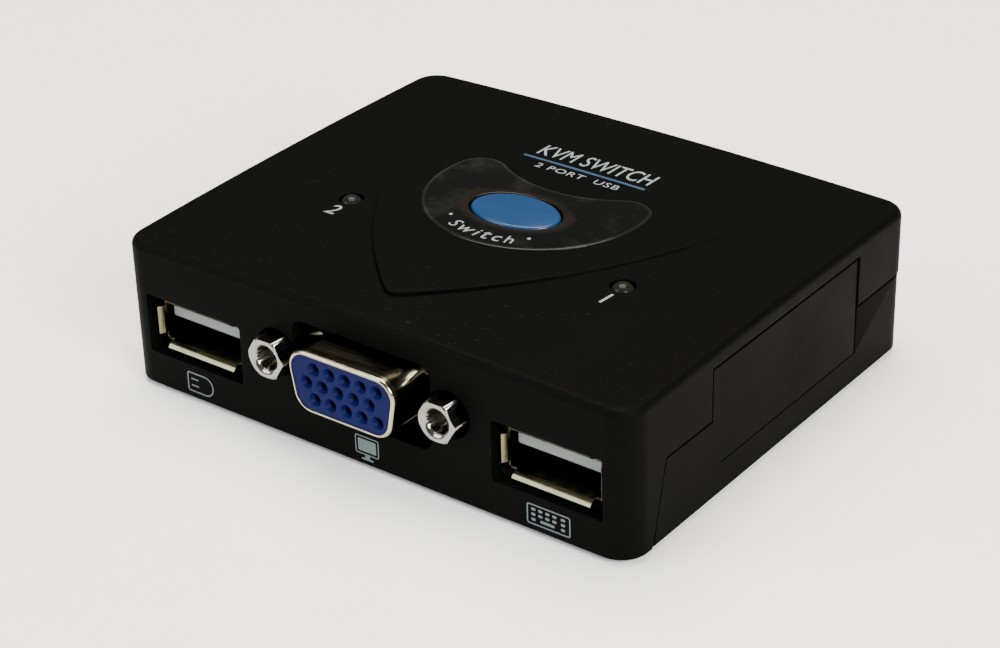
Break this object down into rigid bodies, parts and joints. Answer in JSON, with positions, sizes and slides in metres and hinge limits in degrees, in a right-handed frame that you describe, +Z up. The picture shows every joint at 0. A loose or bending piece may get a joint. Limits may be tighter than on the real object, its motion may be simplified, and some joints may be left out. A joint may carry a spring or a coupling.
{
  "type": "kvm switch",
  "caption": "Small flat two-computer KVM switch: black box with a display socket between USB sockets, blue select button, status lights and rear computer sockets.",
  "frame": {"origin": "centre of the overall box, on the plane of the rubber feet", "axes": "+Z up, +X along the long side, -Y out of the console face with the mouse, display and keyboard sockets"},
  "size_m": [0.0738, 0.0676, 0.0212],
  "materials": {
    "case_plastic": "fine moulded texture, nearly black",
    "label_film": "clear glossy overlay, printed dark behind",
    "button_blue": "smooth mid blue",
    "light_lens": "diffused beige lens",
    "tinned_lead": "tinned wire",
    "board_laminate": "green solder mask",
    "nickel_plate": "bright nickel plate, slightly warm",
    "socket_blue": "moulded royal blue",
    "contact_gold": "gold flash",
    "tongue_white": "white moulding",
    "black_moulding": "black moulding",
    "spring_steel": "thin stainless dome",
    "can_metal": "drawn metal can",
    "ceramic": "fired ceramic chip",
    "screw_zinc": "zinc plated",
    "foot_rubber": "soft black rubber"
  },
  "bodies": {
    "case": {"top_cover": "case_plastic", "bottom_cover": "case_plastic", "button_label": "label_film", "status_light_1": "light_lens", "status_light_2": "light_lens", "light_leads": "tinned_lead", "main_board": "board_laminate", "console_socket_shell": "nickel_plate", "console_socket_insert": "socket_blue", "console_socket_contacts": "contact_gold", "console_jackscrews": "nickel_plate", "computer_1_socket_shell": "nickel_plate", "computer_1_socket_insert": "socket_blue", "computer_1_socket_contacts": "contact_gold", "computer_1_jackscrews": "nickel_plate", "computer_2_socket_shell": "nickel_plate", "computer_2_socket_insert": "socket_blue", "computer_2_socket_contacts": "contact_gold", "computer_2_jackscrews": "nickel_plate", "mouse_usb_shell": "nickel_plate", "mouse_usb_tongue": "tongue_white", "mouse_usb_contacts": "contact_gold", "keyboard_usb_shell": "nickel_plate", "keyboard_usb_tongue": "tongue_white", "keyboard_usb_contacts": "contact_gold", "switch_body": "black_moulding", "switch_dome": "spring_steel", "switch_terminals": "tinned_lead", "controller_chip": "black_moulding", "video_switch_chips": "black_moulding", "clock_crystal": "can_metal", "smoothing_capacitors": "can_metal", "small_parts": "ceramic", "case_screws": "screw_zinc", "board_screws": "screw_zinc", "rubber_feet": "foot_rubber"},
    "button": {"select_button": "button_blue", "switch_plunger": "black_moulding"}
  },
  "joints": [
    {"name": "button_press", "type": "slide", "parent": "case", "child": "button", "axis": [0, 0, -1], "range_m": [0, 0.0005], "stiffness_N_per_m": 600, "deforming": ["switch_dome"]}
  ]
}
